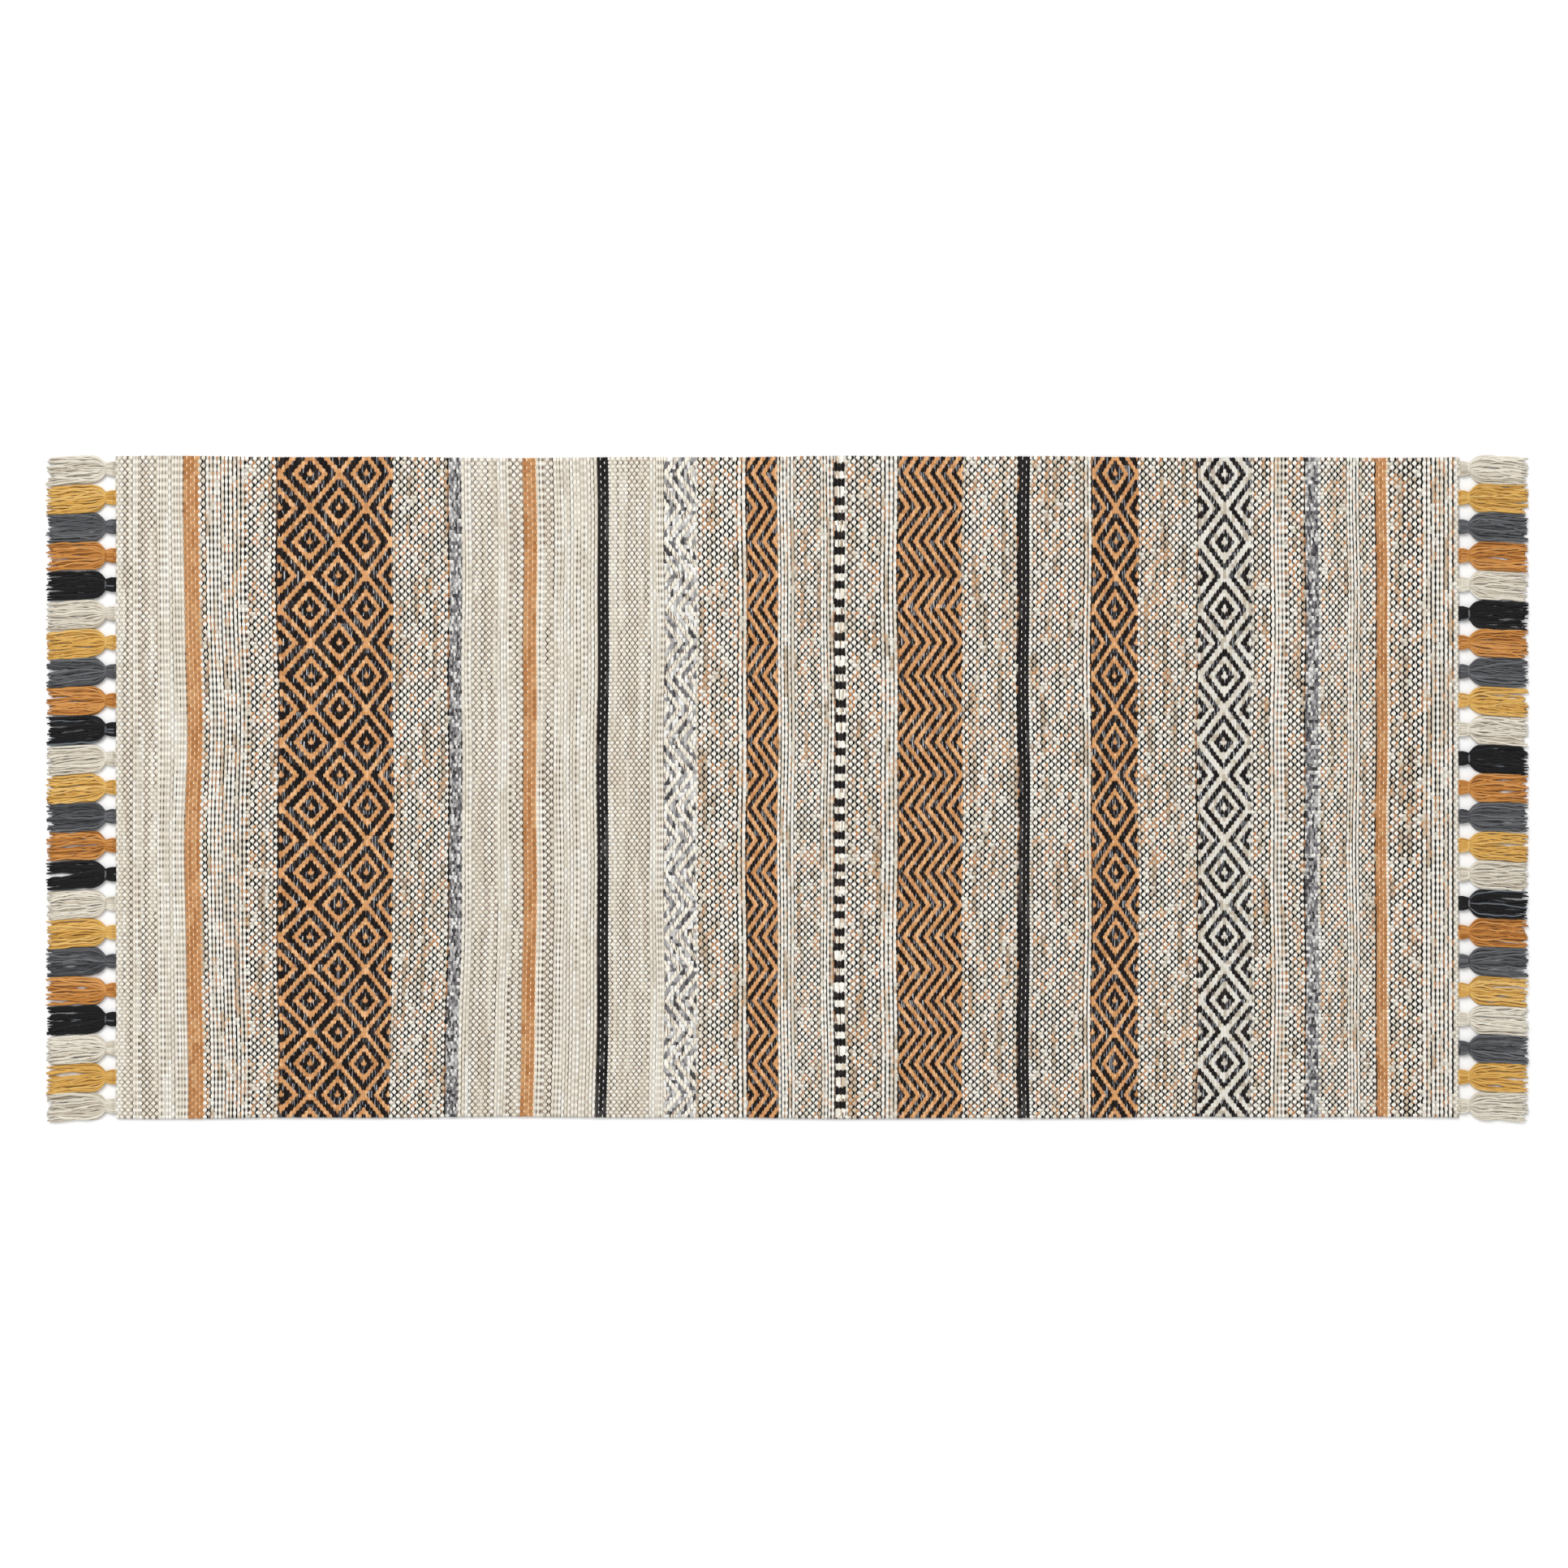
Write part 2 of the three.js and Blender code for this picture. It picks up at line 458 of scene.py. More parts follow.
def with_glints_and_flecks(ground, glints_and_flecks):
    """The colours of a ground yarn, with strokes painted on one side of it here and there."""
    colour = strips(spun(ground, GROUND_WARPS_PER_COLOUR)[face_warp])
    # On the black ground the strokes are a painted highlight, glints of light along the yarn; on the cream
    # and white grounds they are flecks in the yarn itself.
    stroke_warps = np.repeat(rng.random(WARPS // 2) < GLINT_AND_FLECK_SHARE, 2)
    light = np.stack([stroke_warps[face_warp], np.zeros(ROWS - 1, bool)])
    return np.where(light[..., None], spun(glints_and_flecks, GLINT_AND_FLECK_WARPS_PER_COLOUR)[face_warp], colour)


def figured(width, figure, groups, shown, ground, glints_and_flecks, centre, taper=0.0):
    """Groups of three yarns: a shown one between two ground ones, which it covers on the figure.

    taper is how much wider the first group is than the last, as a share of the average.
    """
    grade = 1 + taper * np.linspace(0.5, -0.5, groups)
    widths = width * grade / grade.sum()
    pressed = PRESSED_BY_WARP * (1 + np.cos(2 * np.pi * row_warp))
    picks = []
    for number, whole in enumerate(widths):
        start, end = shown_part(figure, number, centre)
        cover = end - start
        under = whole * cover / 2
        lifts = [np.clip(4 * part - 1 - pressed, -1, 1) for part in (start, cover, 1 - end)]
        side = GROUND_SHARE * whole
        middle = whole - 2 * side
        shown_colour = strips(spun(shown, SHOWN_WARPS_PER_COLOUR)[face_warp])
        left_colour = with_glints_and_flecks(ground, glints_and_flecks)
        right_colour = with_glints_and_flecks(ground, glints_and_flecks)
        below_left = under - side
        below_right = side - under
        left = Pick(side, 0, lifts[0], left_colour, left_colour)
        left.bend_top = start * whole - side
        left.bend_below = below_left
        over = Pick(middle, 0, lifts[1], shown_colour, shown_colour)
        over.bend_top = (end - 1) * whole + side
        over.bend_below = below_right
        picks += [left, over, Pick(side, 0, lifts[2], right_colour, right_colour)]
    return picks


def diamonds_wide(width):
    return figured(width, lattice_diamonds, 37, MUSTARD, BLACK, BLACK_GLINT, centre=9, taper=0.24)


def diamonds_mustard(width):
    return figured(width, lattice_diamonds, 19, MUSTARD, BLACK, BLACK_GLINT, centre=9)


def diamonds_cream(width):
    return figured(width, ringed_diamonds, 19, RINGS_CREAM, BLACK, BLACK_GLINT, centre=9)


def zigzag_narrow(width):
    return figured(width, zigzag, 12, MUSTARD, BLACK, BLACK_GLINT, centre=0)


def zigzag_wide(width):
    return figured(width, zigzag, 24, MUSTARD, BLACK, BLACK_GLINT, centre=0)


def waves(width):
    return figured(width, zigzag, 11, GREY, CREAM, CREAM_FLECK, centre=0)


def beads(width):
    return figured(width, bead_row, 3, BLACK, WHITE, CREAM_FLECK, centre=1)


# The bands of each section, from left to right, with their widths. REST is whatever the others leave.
REST = None
BANDS = {
    "heading_left": [(heading, REST)],
    "field_cream_end": [(cream, REST)],
    "field_melange_1": [(mustard_stripe, 14 * MM), (melange, REST)],
    "field_diamonds_wide": [(diamonds_wide, REST)],
    "field_melange_2": [(melange, REST), (grey_stripe, 11.6 * MM)],
    "field_cream_striped": [
        (cream, 56 * MM),
        (mustard_stripe, 12 * MM),
        (cream, 55.4 * MM),
        (black_stripe, 10.6 * MM),
        (cream, REST),
    ],
    "field_waves_zigzag": [(waves, 29 * MM), (melange, 47 * MM), (zigzag_narrow, REST)],
    "field_beads": [(fine_melange, 51.5 * MM), (beads, 9.5 * MM), (melange, REST)],
    "field_zigzag_wide": [(zigzag_wide, REST)],
    "field_melange_3": [(melange, 51 * MM), (black_stripe, 10.5 * MM), (melange, REST)],
    "field_diamonds_mustard": [(diamonds_mustard, REST)],
    "field_diamonds_cream": [(melange, 53.9 * MM), (diamonds_cream, REST)],
    "field_melange_end": [
        (melange, 49.6 * MM),
        (grey_stripe, 12.4 * MM),
        (melange, 52 * MM),
        (mustard_stripe, 10 * MM),
        (melange, REST),
    ],
    "heading_right": [(heading, REST)],
}

# ---------------------------------------------------------------------------------------------------------
# Meshes
# ---------------------------------------------------------------------------------------------------------


class MeshParts:
    """Gathers points and coloured faces, and makes one mesh of them."""

    def __init__(self):
        self.points = []
        self.faces = []
        self.colours = []
        self.count = 0

    def add_points(self, points):
        """Adds points, and returns their numbers in the same arrangement."""
        points = np.asarray(points, float)
        flat = points.reshape(-1, 3)
        numbers = self.count + np.arange(len(flat))
        self.points.append(flat)
        self.count += len(flat)
        return numbers.reshape(points.shape[:-1])

    def add_faces(self, corners, colours):
        """Adds faces with the same number of corners each. colours is one colour, or one for each face."""
        corners = np.asarray(corners).reshape(-1, np.shape(corners)[-1])
        self.faces.append(corners)
        colours = np.asarray(colours, float).reshape(-1, 3)
        self.colours.append(np.broadcast_to(colours, (len(corners), 3)))

    def add_grid(self, numbers, colours):
        """Adds the quads between neighbours of a grid of points, facing the way rows x columns turns."""
        quads = np.stack([numbers[:-1, :-1], numbers[1:, :-1], numbers[1:, 1:], numbers[:-1, 1:]], axis=-1)
        self.add_faces(quads.reshape(-1, 4), colours)

    def build(self, name, material):
        mesh = bpy.data.meshes.new(name)
        points = np.concatenate(self.points)
        mesh.vertices.add(len(points))
        mesh.vertices.foreach_set("co", points.astype(np.float32).ravel())
        corners = np.concatenate([face.ravel() for face in self.faces])
        sizes = np.concatenate([np.full(len(face), face.shape[1]) for face in self.faces])
        mesh.loops.add(len(corners))
        mesh.loops.foreach_set("vertex_index", corners.astype(np.int32))
        mesh.polygons.add(len(sizes))
        starts = np.cumsum(sizes) - sizes
        mesh.polygons.foreach_set("loop_start", starts.astype(np.int32))
        mesh.polygons.foreach_set("use_smooth", np.ones(len(sizes), bool))
        mesh.update(calc_edges=True)
        colours = np.ones((len(sizes), 4), np.float32)
        colours[:, :3] = linear(np.concatenate(self.colours))
        attribute = mesh.attributes.new("yarn_colour", "FLOAT_COLOR", "FACE")
        attribute.data.foreach_set("color", colours.ravel())
        mesh.materials.append(material)
        made = bpy.data.objects.new(name, mesh)
        bpy.context.scene.collection.objects.link(made)
        return made


def add_tube(parts, path, radii, colours, across, sides):
    """A closed tube along a path. across is a direction that the path never runs in."""
    path = np.asarray(path, float)
    ahead = np.gradient(path, axis=0)
    ahead /= np.linalg.norm(ahead, axis=1)[:, None]
    side = across - (ahead @ across)[:, None] * ahead
    side /= np.linalg.norm(side, axis=1)[:, None]
    up = np.cross(ahead, side)
    turn = 2 * np.pi * np.arange(sides) / sides
    ring = side[:, None, :] * np.cos(turn)[None, :, None] + up[:, None, :] * np.sin(turn)[None, :, None]
    numbers = parts.add_points(path[:, None, :] + ring * np.broadcast_to(radii, len(path))[:, None, None])
    closed = np.concatenate([numbers, numbers[:, :1]], axis=1)
    parts.add_grid(closed, np.repeat(np.broadcast_to(colours, (len(path) - 1, 3)), sides, axis=0))
    parts.add_faces(numbers[:1, ::-1], np.atleast_2d(colours)[0])
    parts.add_faces(numbers[-1:], np.atleast_2d(colours)[-1])


# ---------------------------------------------------------------------------------------------------------
# Materials
# ---------------------------------------------------------------------------------------------------------


# The length of one wave of the wave texture at a scale of 1.
WAVE_NODE_LENGTH = 2 * math.pi / 10


def spun_cotton(name, twist_length):
    """Matt cotton yarn: its own colour, mottled by noise, with bumps for its fibres and its twist."""
    material = bpy.data.materials.new(name)
    material.use_nodes = True
    nodes = material.node_tree.nodes
    links = material.node_tree.links
    shader = nodes["Principled BSDF"]
    shader.inputs["Roughness"].default_value = 0.92
    shader.inputs["Sheen Weight"].default_value = 0.12
    shader.inputs["Sheen Roughness"].default_value = 0.5
    shader.inputs["Specular IOR Level"].default_value = 0.2

    place = nodes.new("ShaderNodeTexCoord")
    colour = nodes.new("ShaderNodeAttribute")
    colour.attribute_name = "yarn_colour"

    fibres = nodes.new("ShaderNodeTexNoise")
    fibres.inputs["Scale"].default_value = 1400
    fibres.inputs["Detail"].default_value = 3
    links.new(place.outputs["Object"], fibres.inputs["Vector"])

    mottle = nodes.new("ShaderNodeTexNoise")
    mottle.inputs["Scale"].default_value = 120
    mottle.inputs["Detail"].default_value = 2
    links.new(place.outputs["Object"], mottle.inputs["Vector"])

    twist = nodes.new("ShaderNodeTexWave")
    twist.bands_direction = "DIAGONAL"
    twist.inputs["Scale"].default_value = WAVE_NODE_LENGTH / twist_length
    twist.inputs["Distortion"].default_value = 1.5
    twist.inputs["Detail"].default_value = 1
    links.new(place.outputs["Object"], twist.inputs["Vector"])

    shade = nodes.new("ShaderNodeMapRange")
    shade.inputs["From Min"].default_value = 0.3
    shade.inputs["From Max"].default_value = 0.7
    shade.inputs["To Min"].default_value = 0.84
    shade.inputs["To Max"].default_value = 1.12
    links.new(fibres.outputs["Fac"], shade.inputs["Value"])

    drift = nodes.new("ShaderNodeMapRange")
    drift.inputs["From Min"].default_value = 0.3
    drift.inputs["From Max"].default_value = 0.7
    drift.inputs["To Min"].default_value = 0.94
    drift.inputs["To Max"].default_value = 1.06
    links.new(mottle.outputs["Fac"], drift.inputs["Value"])

    both = nodes.new("ShaderNodeMath")
    both.operation = "MULTIPLY"
    links.new(shade.outputs["Result"], both.inputs[0])
    links.new(drift.outputs["Result"], both.inputs[1])

    tinted = nodes.new("ShaderNodeVectorMath")
    tinted.operation = "SCALE"
    links.new(colour.outputs["Color"], tinted.inputs[0])
    links.new(both.outputs["Value"], tinted.inputs["Scale"])
    links.new(tinted.outputs["Vector"], shader.inputs["Base Color"])

    twist_bump = nodes.new("ShaderNodeBump")
    twist_bump.inputs["Strength"].default_value = 0.5
    twist_bump.inputs["Distance"].default_value = 0.25 * MM
    links.new(twist.outputs["Fac"], twist_bump.inputs["Height"])
    fibre_bump = nodes.new("ShaderNodeBump")
    fibre_bump.inputs["Strength"].default_value = 0.4
    fibre_bump.inputs["Distance"].default_value = 0.15 * MM
    links.new(fibres.outputs["Fac"], fibre_bump.inputs["Height"])
    links.new(twist_bump.outputs["Normal"], fibre_bump.inputs["Normal"])
    links.new(fibre_bump.outputs["Normal"], shader.inputs["Normal"])
    return material


TWIST_LENGTH = 2.2 * MM
MATERIALS = {slot: spun_cotton(slot, TWIST_LENGTH) for slot in sorted(set(SLOT_OF_NODE.values()))}

# ---------------------------------------------------------------------------------------------------------
# The woven cloth
# ---------------------------------------------------------------------------------------------------------


def seams():
    """Where each section starts and ends: the ends of the cloth, and the middle of each gap in the frame."""
    boxes = [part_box(node) for node in SECTIONS]
    middles = [(left[1][X] + right[0][X]) / 2 for left, right in zip(boxes, boxes[1:])]
    return [boxes[0][0][X], *middles, boxes[-1][1][X]]


SEAMS = seams()
CLOTH_END = SEAMS[-1]


def section_picks(node, start, end):
    """The picks of a section's bands, scaled to fill the section exactly."""
    bands = BANDS[node]
    given = sum(width for _, width in bands if width is not REST)
    picks = []
    for make_band, width in bands:
        band_width = (end - start) - given if width is REST else width
        band = make_band(band_width)
        scale = band_width / sum(pick.width for pick in band)
        for pick in band:
            pick.width *= scale
        picks += band
    return picks


NARROWEST = 0.03 * MM
STRAIGHT_END = 60 * MM
SLANT = 2.4 * MM
ARCH = 3.4 * MM
SLOW_RIPPLE = 0.5 * MM
QUICK_RIPPLE = 0.35 * MM
SLOW_BULGE = 0.7 * MM
QUICK_BULGE = 0.4 * MM


def hill(x, middle, spread):
    """1 at the middle, fading to 0 on both sides of it."""
    return np.exp(-(((x - middle) / spread) ** 2))


def weft_drift(x):
    """How far the picks near x wander from straight, at each row. The ends of the cloth stay straight."""
    across = row_y / (CLOTH_WIDTH / 2)
    hold = np.clip((CLOTH_END - np.abs(x)) / STRAIGHT_END, 0, 1) ** 2
    slant = SLANT * (across**2 * np.sign(-across) * 0.9 + 0.3 * np.sin(7 * across))
    slant *= hill(x, middle=-0.53, spread=0.09)
    arch = ARCH * (0.35 - (across - 0.25) ** 2 * 0.8)
    arch *= hill(x, middle=-0.30, spread=0.13)
    ripple = SLOW_RIPPLE * np.sin(5.3 * across + x * 11) + QUICK_RIPPLE * np.sin(11.7 * across - x * 23)
    return hold * (slant + arch + ripple)


def selvedge_drift(x):
    """How far the long edges bulge at x."""
    return SLOW_BULGE * np.sin(9 * x + 0.6) + QUICK_BULGE * np.sin(31 * x)


def kept_apart(edges):
    """The edges with at least NARROWEST between each one and the next."""
    steps = NARROWEST * np.arange(len(edges))[:, None]
    return np.maximum.accumulate(edges - steps, axis=0) + steps


def edge_grids(edges, picks):
    """Where each edge between picks lies, at each row, on the top of the cloth and on its underside."""
    push = np.array([pick.swing * pick.lift for pick in picks])
    shift = (push[:-1] - push[1:]) / 2
    bend_top = np.array([np.broadcast_to(pick.bend_top, ROWS) for pick in picks[:-1]])
    bend_below = np.array([np.broadcast_to(pick.bend_below, ROWS) for pick in picks[:-1]])
    top = edges[:, None] + np.array([weft_drift(x) for x in edges])
    low = top.copy()
    top[1:-1] += shift + bend_top
    low[1:-1] += bend_below - shift
    return kept_apart(top), kept_apart(low)


def height_on_top(lift, width):
    """How high the crest of a pick is. A narrow one stands only a little above its edges."""
    risen = CREST_UNDER + (CREST_OVER - CREST_UNDER) * (lift + 1) / 2
    return np.minimum(risen, VALLEY + ROUNDNESS * width)


def height_below(lift, width):
    hanging = CREST_BELOW + (CREST_ABOVE_FLOOR - CREST_BELOW) * (lift + 1) / 2
    return np.maximum(hanging, VALLEY_BELOW - ROUNDNESS * width)


def shaded(colour, lift):
    """A pick's colours with painted shade, darker where it dips in between its neighbours."""
    height = np.clip((lift[1:] + lift[:-1]) / 2, -1, 1)
    return colour * (1 - DIP_SHADE * (1 - height) / 2)[:, None]


def add_cloth(parts, picks, top_edges, low_edges, open_left, open_right):
    """The closed skin of some picks. An open side is an end of the cloth, and is rounded off."""
    lower_rows = np.append(np.arange(0, ROWS - 1, 2), ROWS - 1)
    top_x, top_z, low_x, low_z = [], [], [], []
    for number, pick in enumerate(picks):
        top_x.append(top_edges[number])
        low_x.append(low_edges[number])
        top_z.append(np.full(ROWS, VALLEY))
        low_z.append(np.full(ROWS, VALLEY_BELOW))
        if pick.crested:
            top_x.append((top_edges[number] + top_edges[number + 1]) / 2)
            low_x.append((low_edges[number] + low_edges[number + 1]) / 2)
            top_z.append(height_on_top(pick.lift, top_edges[number + 1] - top_edges[number]))
            low_z.append(height_below(pick.lift, low_edges[number + 1] - low_edges[number]))
    top_x.append(top_edges[len(picks)])
    low_x.append(low_edges[len(picks)])
    top_z.append(np.full(ROWS, VALLEY))
    low_z.append(np.full(ROWS, VALLEY_BELOW))
    if open_left:
        top_z[0][:] = EDGE_TOP
        low_z[0][:] = EDGE_BOTTOM
    if open_right:
        top_z[-1][:] = EDGE_TOP
        low_z[-1][:] = EDGE_BOTTOM
    top_x, top_z = np.array(top_x), np.array(top_z)
    low_x, low_z = np.array(low_x), np.array(low_z)

    stretch = 1 + selvedge_drift(top_x) / (CLOTH_WIDTH / 2)
    top = parts.add_points(np.stack([top_x, row_y * stretch, top_z], axis=-1))
    low = parts.add_points(np.stack([low_x, row_y * stretch, low_z], axis=-1)[:, lower_rows])

    # Each face takes its pick's colour with painted shade where the pick dips, on top and below.
    face_colour = np.concatenate([shaded(pick.colour, pick.lift) for pick in picks])
    colour_below = np.concatenate([shaded(pick.colour_below, -pick.lift) for pick in picks])
    parts.add_grid(top, face_colour.reshape(-1, 3))
    parts.add_grid(low[:, ::-1], colour_below[:, lower_rows[:-1][::-1]].reshape(-1, 3))

    add_selvedges(parts, top, low, top_x, stretch, face_colour)
    add_wall(parts, top[0], low[0], lower_rows, face_colour[0], outward=True)
    add_wall(parts, top[-1], low[-1], lower_rows, face_colour[-1], outward=False)


# How far the turn of a pick stands out from the long edge, in millimetres, and how much less on every second
# line of points.
LOOP_OUT = (-0.1, 0.5)
LOOP_DRAWN_IN = 0.35 * MM


def add_selvedges(parts, top, low, top_x, stretch, face_colour):
    """Rounds off the long edges, where each pick turns back round the last warp."""
    loop_out = rng.uniform(*LOOP_OUT, len(top)) * MM
    loop_out[::2] -= LOOP_DRAWN_IN
    for end, row, sign in ((0, 0, -1), (-1, ROWS - 1, 1)):
        edge_y = (sign * CLOTH_WIDTH / 2) * stretch[:, row] + sign * loop_out
        middle = np.stack([top_x[:, row], edge_y, np.full(len(top), EDGE_HEIGHT)], axis=-1)
        turn = parts.add_points(middle)
        rounded = np.stack([top[:, end], turn, low[:, end]], axis=1)
        if sign > 0:
            rounded = rounded[:, ::-1]
        colours = np.repeat(face_colour[:, end], 2, axis=0)
        parts.add_grid(rounded[:, ::-1], colours)
        left = [top[0, end], low[0, end], turn[0]]
        right = [top[-1, end], low[-1, end], turn[-1]]
        parts.add_faces([left if sign < 0 else left[::-1]], face_colour[0, end])
        parts.add_faces([right[::-1] if sign < 0 else right], face_colour[-1, end])


def add_wall(parts, top, low, lower_rows, colours, outward):
    """Closes a section along the edge of its first or last pick."""
    pairs = np.stack([lower_rows[:-1], lower_rows[1:]], axis=1)
    long_steps = pairs[:, 1] - pairs[:, 0] == 2
    for steps, middle in ((long_steps, True), (~long_steps, False)):
        start, stop = pairs[steps].T
        index = np.nonzero(steps)[0]
        ring = [top[start], *([top[start + 1]] if middle else []), top[stop], low[index + 1], low[index]]
        faces = np.stack(ring if outward else ring[::-1], axis=1)
        parts.add_faces(faces, colours[start])


# ---------------------------------------------------------------------------------------------------------
# Tassels
# ---------------------------------------------------------------------------------------------------------

ACROSS_Y = np.array([0.0, 1.0, 0.0])
ALONG_X = np.array([1.0, 0.0, 0.0])
HEAD_RADIUS = 2.65 * MM
HEAD_STRAND = 0.74 * MM
HEAD_LOOPS = 9
HEAD_HALF_WIDTH = 5.9 * MM
LOOP_X = 3.0 * MM
LOOP_HALF_HEIGHT = 1.2 * MM
LOOP_NARROWING = 0.4
NECK_X = 5.6 * MM
NECK_HALF_WIDTH = 4.2 * MM
NECK_HALF_HEIGHT = 0.9 * MM
BINDING_TURNS = 2
BINDING_START = NECK_X - 0.7 * MM
BINDING_END = NECK_X + 0.9 * MM
BINDING_HALF_WIDTH = NECK_HALF_WIDTH + 0.4 * MM
BINDING_HALF_HEIGHT = 1.6 * MM
BINDING_RADIUS = 0.45 * MM

# A skirt spreads over SKIRT_FLARE from the neck, and a little past the width of its place at the hem.
SKIRT_FLARE = 5.0 * MM
SKIRT_SPILL = 0.5 * MM
FLOOR_GAP = 0.12 * MM
SKIRT_LAYERS = 3
STRANDS_PER_LAYER = 16
SKIRT_STRAND = 0.8 * MM
NECK_STRAND = 0.5 * MM
SKIRT_STEPS = 18
SHORTEST_STRAND = 0.88
TIP_TAPER = 0.7

# Powers that shape a strand: its points crowd near the neck, and it opens and leans slowly at first.
STEP_POWER = 1.15
OPENING_POWER = 1.3
LEAN_POWER = 1.3

# Each strand's seat and tip wander by shares of half the skirt's width, and it lies up to LOOSENESS
# millimetres higher. Each layer lies LAYER_RISE strand radii above the one below it.
SEAT_WANDER = 0.05
TIP_WANDER = 0.3
TIP_LIMIT = 0.97
LOOSENESS = 0.3
LAYER_RISE = 1.5

# How far the tips lean along Y, and how much that changes from one tassel to the next.
LEAN = -2.2 * MM
LEAN_CHANGE = 0.9 * MM
LEAN_TURN = 190

# The arch of the heading's short strands in X and Z, in millimetres from the hinge.
HEADING_LOOP = [(-4.3, 0.1), (-3.5, 0.5), (-2.7, 0.7), (-1.8, 0.5), (-0.9, 0.0)]
TUBE_SIDES = 6


def yarn_of(node):
    return TASSEL_YARNS[SLOT_OF_NODE[node]]


def head_rows():
    """Where the loops of a tassel's head lie across it."""
    return np.linspace(-1, 1, HEAD_LOOPS) * HEAD_HALF_WIDTH


def add_head(parts, palette, place):
    """The yarn loops that the tassel hangs by, side by side round the hinge."""
    turn = HEAD_RADIUS - HEAD_STRAND
    for at in head_rows():
        neck_at = at * NECK_HALF_WIDTH / HEAD_HALF_WIDTH
        between = (1 - LOOP_NARROWING) * at + LOOP_NARROWING * neck_at
        angles = np.radians([270, 240, 210, 180, 150, 120, 90])
        around = [(turn * math.cos(a), at, turn * math.sin(a)) for a in angles]
        below = [(NECK_X, neck_at, -NECK_HALF_HEIGHT), (LOOP_X, between, -LOOP_HALF_HEIGHT)]
        above = [(LOOP_X, between, LOOP_HALF_HEIGHT), (NECK_X, neck_at, NECK_HALF_HEIGHT)]
        colour = pick_from(palette, 1)[0]
        add_tube(parts, place(below + around + above), HEAD_STRAND, colour, ACROSS_Y, TUBE_SIDES)


def add_binding(parts, palette, place):
    """Thin yarn wound round the neck."""
    steps_per_turn = 14
    steps = BINDING_TURNS * steps_per_turn
    angle = 2 * np.pi * np.arange(steps + 1) / steps_per_turn
    x = np.linspace(BINDING_START, BINDING_END, steps + 1)
    y = BINDING_HALF_WIDTH * np.cos(angle)
    z = BINDING_HALF_HEIGHT * np.sin(angle)
    points = np.stack([x, y, z], axis=1)
    add_tube(parts, place(points), BINDING_RADIUS, pick_from(palette, 1)[0], ALONG_X, TUBE_SIDES)


def strand_wave(x, heights, lengths):
    """A sideways wave along a strand. Its height and length come from two ranges in millimetres."""
    height = rng.uniform(*heights) * MM
    length = rng.uniform(*lengths) * MM
    return height * np.sin(x / length + rng.uniform(0, 6))


def skirt_strand(layer, seat, length, limit, floor_z, lean):
    """The path and radii of one strand of the skirt. seat is its place across the neck, from -1 to 1."""
    share = np.linspace(0, 1, SKIRT_STEPS) ** STEP_POWER
    tip_seat = np.clip(seat + rng.normal(0, TIP_WANDER), -TIP_LIMIT, TIP_LIMIT)
    reach = length * rng.uniform(SHORTEST_STRAND, 1.0)
    x = NECK_X + (reach - NECK_X) * share
    opened = 1 - np.exp(-(((x - NECK_X) / SKIRT_FLARE) ** OPENING_POWER))
    slow = strand_wave(x, heights=(0.4, 1.1), lengths=(6, 10))
    quick = strand_wave(x, heights=(0.1, 0.4), lengths=(2.2, 3.5))
    spread = seat + (tip_seat - seat) * share
    y = seat * NECK_HALF_WIDTH * (1 - opened) + opened * (limit * spread + slow + quick)
    y = np.clip(y, -limit, limit) + lean * share**LEAN_POWER
    lift = rng.uniform(0, LOOSENESS) * MM
    lying = floor_z + LAYER_RISE * layer * SKIRT_STRAND + lift
    neck_z = (layer - (SKIRT_LAYERS - 1) / 2) * NECK_HALF_HEIGHT
    z = neck_z * (1 - opened) + lying * opened
    radii = NECK_STRAND + (SKIRT_STRAND - NECK_STRAND) * opened
    radii[-1] *= TIP_TAPER
    return np.stack([x, y, z], axis=1), radii


def add_skirt(parts, palette, place, length, half_width, rest_height, lean):
    """Layers of cut strands that spread from the neck and lie on the floor."""
    limit = half_width + SKIRT_SPILL - SKIRT_STRAND
    floor_z = SKIRT_STRAND + FLOOR_GAP - rest_height
    for layer in range(SKIRT_LAYERS):
        for number in range(STRANDS_PER_LAYER):
            seat = 2 * number / (STRANDS_PER_LAYER - 1) - 1 + rng.uniform(-SEAT_WANDER, SEAT_WANDER)
            path, radii = skirt_strand(layer, seat, length, limit, floor_z, lean)
            add_tube(parts, place(path), radii, pick_from(palette, 1)[0], ACROSS_Y, TUBE_SIDES)


def tassel_place(side, hinge):
    """Turns points of a tassel that points along +X into points of one at the hinge, pointing outwards."""

    def place(points):
        points = np.asarray(points, float) * (side, 1, 1)
        return points + hinge

    return place


def make_tassel(node, side, hinge):
    low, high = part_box(node)
    tip = high[X] if side > 0 else low[X]
    length = abs(tip - hinge[X])
    half_width = (high[Y] - low[Y]) / 2
    lean = LEAN + LEAN_CHANGE * math.sin(hinge[Y] * LEAN_TURN + side)
    palette = yarn_of(node)
    binding = TASSEL_YARNS["yarn_grey"] if "black" in SLOT_OF_NODE[node] else palette
    place = tassel_place(side, hinge)
    parts = MeshParts()
    add_head(parts, palette, place)
    add_binding(parts, binding, place)
    add_skirt(parts, palette, place, length, half_width, hinge[Z], lean)
    tassel = parts.build(f"{node}_strands", MATERIALS[SLOT_OF_NODE[node]])
    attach(tassel, BODY_OF_NODE[node])
    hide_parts(node)
    return tassel


def add_heading_loops(parts, side, hinge, palette):
    """Short arched strands that come out of the end of the cloth and end inside a tassel's head."""
    place = tassel_place(side, hinge)
    for at in head_rows():
        points = [(x * MM, at, z * MM) for x, z in HEADING_LOOP]
        add_tube(parts, place(points), HEAD_STRAND, pick_from(palette, 1)[0], ACROSS_Y, TUBE_SIDES)


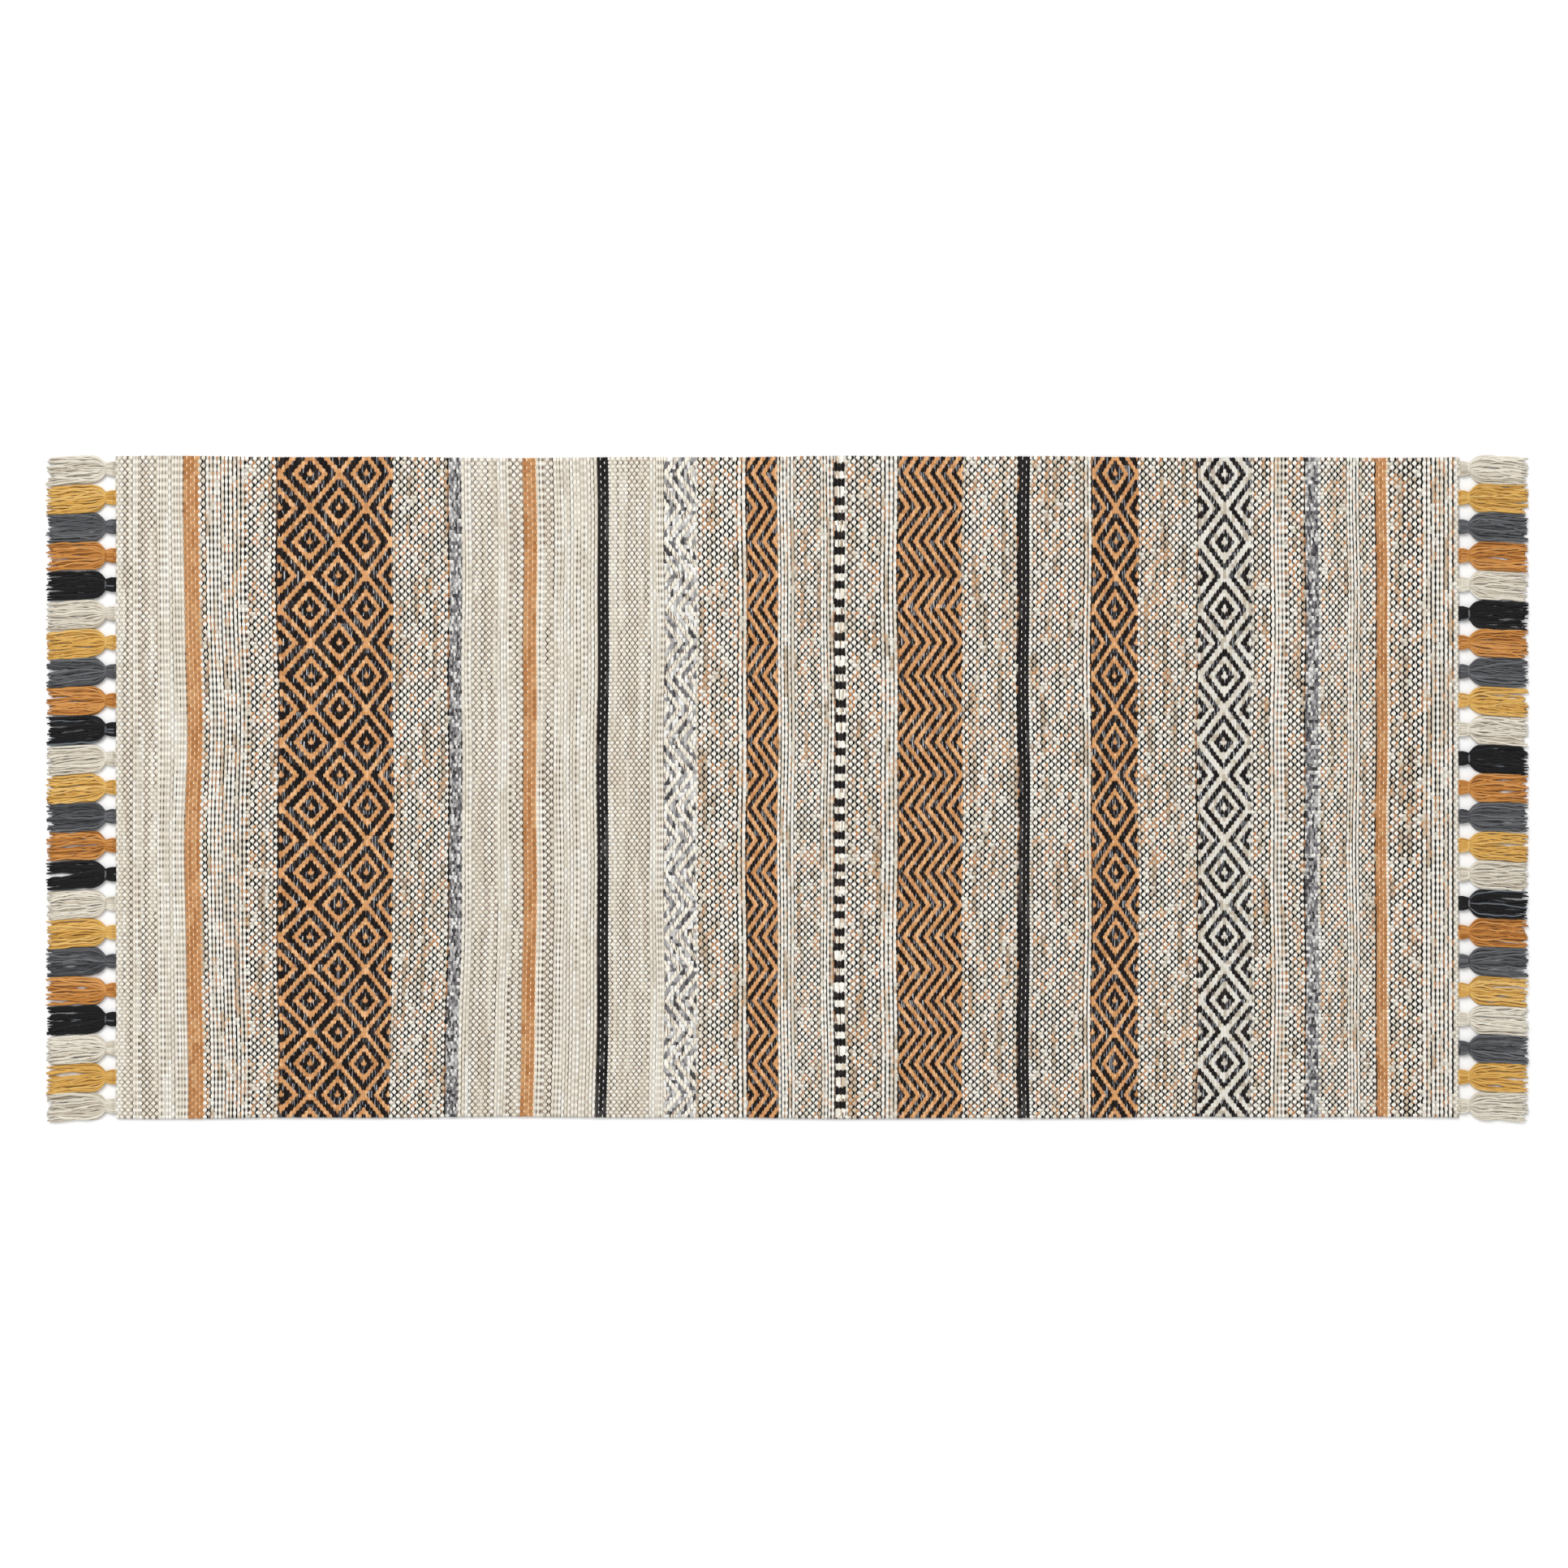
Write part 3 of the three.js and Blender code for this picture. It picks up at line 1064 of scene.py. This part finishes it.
# ---------------------------------------------------------------------------------------------------------
# Assembly
# ---------------------------------------------------------------------------------------------------------

TASSELS = sorted(node for node in BODY_OF_NODE if node.startswith("tassel_"))


def side_of(node):
    return 1 if "right" in node else -1


def hinge_of(node):
    return np.array(JOINTS[f"{node}_swing"]["pos_m"], float)


def make_section(number, picks, top_edges, low_edges):
    node = SECTIONS[number]
    parts = MeshParts()
    open_left = number == 0
    open_right = number == len(SECTIONS) - 1
    add_cloth(parts, picks, top_edges, low_edges, open_left, open_right)
    if open_left or open_right:
        for tassel in TASSELS:
            if side_of(tassel) == side_of(node):
                add_heading_loops(parts, side_of(tassel), hinge_of(tassel), yarn_of(tassel))
    section = parts.build(f"{node}_weave", MATERIALS[SLOT_OF_NODE[node]])
    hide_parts(node)
    return section


def make_cloth():
    """Every section of the cloth, as {node: object}. Neighbours share the edge between their outer picks."""
    by_section = [section_picks(node, SEAMS[i], SEAMS[i + 1]) for i, node in enumerate(SECTIONS)]
    picks = [pick for section in by_section for pick in section]
    edges = SEAMS[0] + np.concatenate([[0], np.cumsum([pick.width for pick in picks])])
    top_edges, low_edges = edge_grids(edges, picks)
    sections = {}
    first = 0
    for number, section in enumerate(by_section):
        last = first + len(section)
        rows = slice(first, last + 1)
        sections[SECTIONS[number]] = make_section(number, section, top_edges[rows], low_edges[rows])
        first = last
    return sections


def join_to_bodies(sections):
    """The two sections that meet at the fold stay where they lie, and the others ride on their half."""
    for node, section in sections.items():
        if node in ("field_waves_zigzag", "field_beads"):
            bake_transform(section)
        else:
            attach(section, BODY_OF_NODE[node])


FLOOR_HALF = 12.0
FLOOR_DROP = 0.05 * MM


def make_floor():
    parts = MeshParts()
    half = FLOOR_HALF
    corners = parts.add_points([(-half, -half, 0), (half, -half, 0), (half, half, 0), (-half, half, 0)])
    parts.add_faces([corners], (255, 255, 255))
    material = bpy.data.materials.new("white_floor")
    material.use_nodes = True
    shader = material.node_tree.nodes["Principled BSDF"]
    shader.inputs["Base Color"].default_value = (0.95, 0.95, 0.95, 1)
    shader.inputs["Roughness"].default_value = 0.9
    floor = parts.build("floor", material)
    floor.location.z = packed_low[Z] - FLOOR_DROP


def make_lights():
    """Even light from all round, and a wide soft light from the upper left."""
    world = bpy.data.worlds.new("studio")
    world.use_nodes = True
    world.node_tree.nodes["Background"].inputs["Color"].default_value = (1, 1, 1, 1)
    world.node_tree.nodes["Background"].inputs["Strength"].default_value = 0.74
    bpy.context.scene.world = world
    light = bpy.data.lights.new("softbox", "AREA")
    light.shape = "SQUARE"
    light.size = 3.6
    light.energy = 290
    softbox = bpy.data.objects.new("softbox", light)
    softbox.location = (-2.2, 3.6, 6.0)
    aim = -softbox.location
    softbox.rotation_euler = aim.to_track_quat("-Z", "Y").to_euler()
    bpy.context.scene.collection.objects.link(softbox)


def make_camera():
    """Straight above the rug, with the rug's middle a little off the middle of the view."""
    view_width = 1.425
    camera = bpy.data.cameras.new("camera")
    camera.lens = 85
    camera.sensor_width = 36
    overhead = bpy.data.objects.new("camera", camera)
    height = view_width * camera.lens / camera.sensor_width
    overhead.location = (-3 * MM, 3 * MM, height)
    bpy.context.scene.collection.objects.link(overhead)
    bpy.context.scene.camera = overhead


cloth = make_cloth()
join_to_bodies(cloth)
for tassel_node in TASSELS:
    make_tassel(tassel_node, side_of(tassel_node), hinge_of(tassel_node))
make_floor()
make_lights()
make_camera()
bpy.context.scene.view_settings.view_transform = "Standard"
